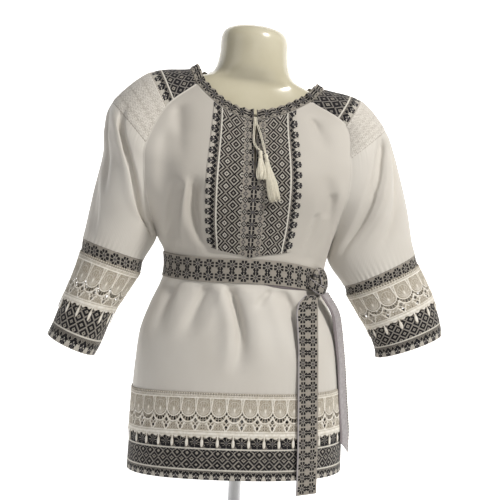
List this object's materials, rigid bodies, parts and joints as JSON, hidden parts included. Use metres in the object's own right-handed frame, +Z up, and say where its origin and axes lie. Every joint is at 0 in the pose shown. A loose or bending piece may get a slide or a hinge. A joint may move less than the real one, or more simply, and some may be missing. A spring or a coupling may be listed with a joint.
{
  "type": "vyshyvanka on a dress form",
  "caption": "White embroidered folk blouse with lace bands, a gathered neck with tasselled drawcord and a tied woven belt, worn by a limbless dress form on a round stand.",
  "frame": {"origin": "centre of the stand's flat underside", "axes": "+Z up, the blouse's front faces -Y, +X is the viewer's right when looking at the front"},
  "size_m": [0.6962, 0.2508, 0.8889],
  "materials": {
    "white_cloth": "soft white crepe with a faint sheen",
    "woven_ornament": "white cloth closely embroidered in black and grey, matt",
    "white_lace": "white cotton guipure lace, matt",
    "cotton_cord": "cream cotton cord and tassel, soft",
    "form_plastic": "glossy cream plastic",
    "stand_metal": "brushed"
  },
  "bodies": {
    "root": {"back_panel": "white_cloth", "front_panel": "white_cloth", "sleeve_left": "white_cloth", "sleeve_right": "white_cloth", "bib": "woven_ornament", "shoulder_inset_left": "woven_ornament", "shoulder_inset_right": "woven_ornament", "neck_casing": "woven_ornament", "sleeve_band_left": "woven_ornament", "sleeve_band_right": "woven_ornament", "cuff_left": "woven_ornament", "cuff_right": "woven_ornament", "hem_band_front": "woven_ornament", "hem_band_back": "woven_ornament", "belt_wrap": "woven_ornament", "belt_knot": "woven_ornament", "belt_tail_front": "woven_ornament", "belt_tail_back": "woven_ornament", "shoulder_lace_left": "white_lace", "shoulder_lace_right": "white_lace", "sleeve_lace_left_front": "white_lace", "sleeve_lace_left_back": "white_lace", "sleeve_lace_right_front": "white_lace", "sleeve_lace_right_back": "white_lace", "hem_lace_front": "white_lace", "hem_lace_back": "white_lace", "drawcord_short": "cotton_cord", "drawcord_long": "cotton_cord", "tassel_short": "cotton_cord", "tassel_long": "cotton_cord", "form_torso": "form_plastic", "stand_base": "stand_metal", "stand_pole": "stand_metal"}
  },
  "joints": []
}
